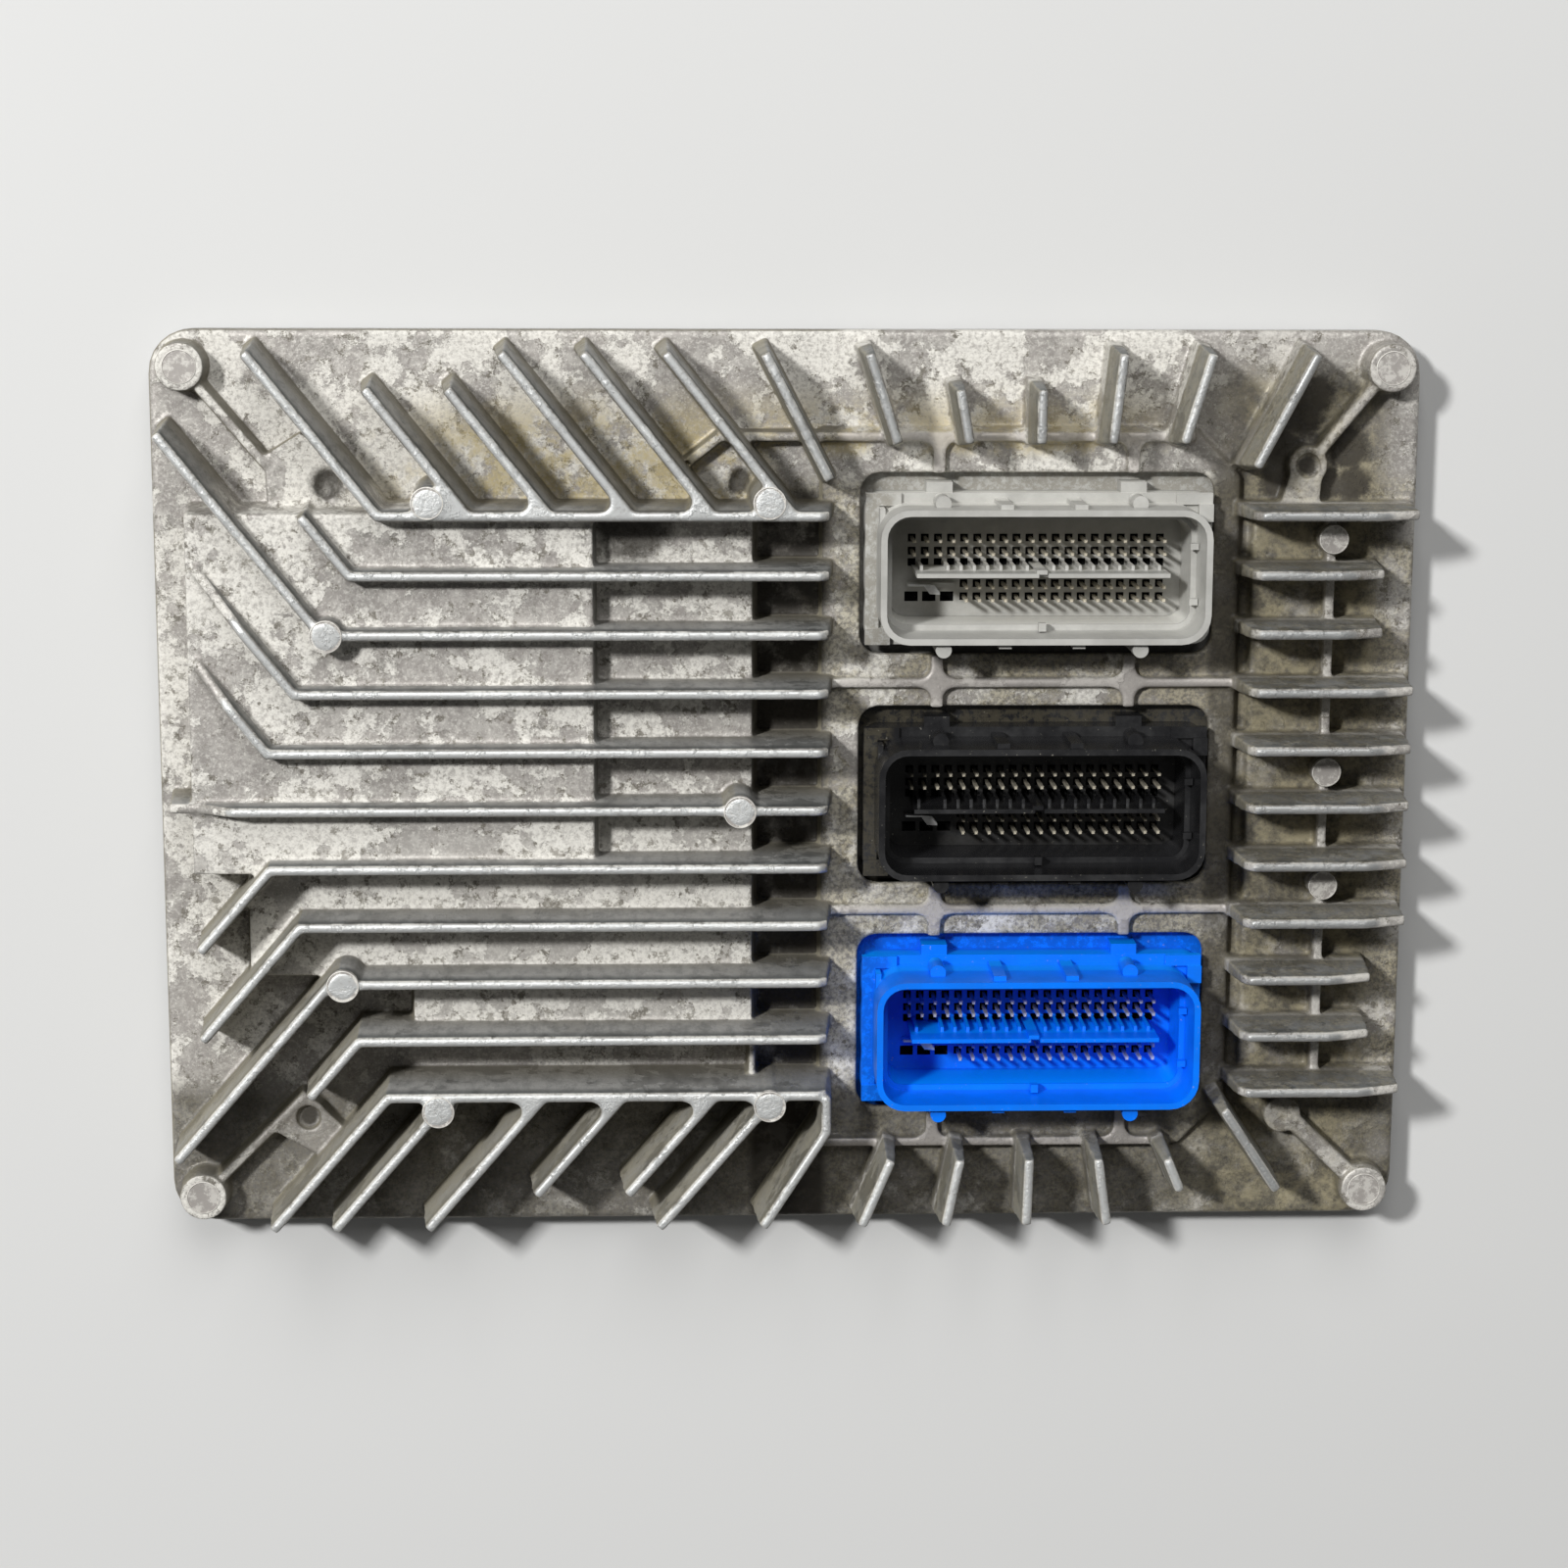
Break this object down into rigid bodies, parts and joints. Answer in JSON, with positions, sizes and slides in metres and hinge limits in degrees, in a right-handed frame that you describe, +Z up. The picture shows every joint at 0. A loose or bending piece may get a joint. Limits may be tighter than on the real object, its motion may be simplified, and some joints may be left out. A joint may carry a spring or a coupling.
{
  "type": "engine control unit",
  "caption": "Engine control unit with a die-cast finned aluminium cover, a dished back plate and a column of pinned plug headers in grey, black and blue.",
  "frame": {"origin": "middle of the outline on the underside of the back plate, which the unit lies on", "axes": "+X from the long fins to the sockets, +Y to the side of the grey socket, +Z up out of the sockets"},
  "size_m": [0.244, 0.1764, 0.0287],
  "materials": {
    "cast_aluminium": "die-cast, dull grey with pale oxide blotches and brown dirt in the pockets",
    "sheet_aluminium": "plain rolled sheet",
    "zinc_plated_steel": "zinc plated",
    "silicone_seal": "soft matte",
    "board_laminate": "lacquered glass-fibre laminate",
    "chip_package": "moulded epoxy",
    "thermal_pad": "soft filled silicone",
    "grey_plastic": "light warm grey moulding",
    "black_plastic": "black moulding with dust",
    "blue_plastic": "saturated blue moulding"
  },
  "bodies": {
    "root": {"finned_cover": "cast_aluminium", "back_plate": "sheet_aluminium", "cover_seal": "silicone_seal", "circuit_board": "board_laminate", "header_grey": "grey_plastic", "header_black": "black_plastic", "header_blue": "blue_plastic", "header_seal_grey": "silicone_seal", "header_seal_black": "silicone_seal", "header_seal_blue": "silicone_seal", "shorting_clip_grey": "zinc_plated_steel", "shorting_clip_black": "zinc_plated_steel", "shorting_clip_blue": "zinc_plated_steel", "processor": "chip_package", "flash_memory": "chip_package", "crystal": "zinc_plated_steel", "corner_screw_1": "zinc_plated_steel", "board_screw_1": "zinc_plated_steel", "corner_screw_2": "zinc_plated_steel", "board_screw_2": "zinc_plated_steel", "corner_screw_3": "zinc_plated_steel", "board_screw_3": "zinc_plated_steel", "corner_screw_4": "zinc_plated_steel", "board_screw_4": "zinc_plated_steel", "power_driver_1": "chip_package", "thermal_pad_1": "thermal_pad", "capacitor_1": "zinc_plated_steel", "power_driver_2": "chip_package", "thermal_pad_2": "thermal_pad", "capacitor_2": "zinc_plated_steel", "power_driver_3": "chip_package", "thermal_pad_3": "thermal_pad", "capacitor_3": "zinc_plated_steel", "inductor_1": "chip_package", "inductor_2": "chip_package"}
  },
  "joints": []
}
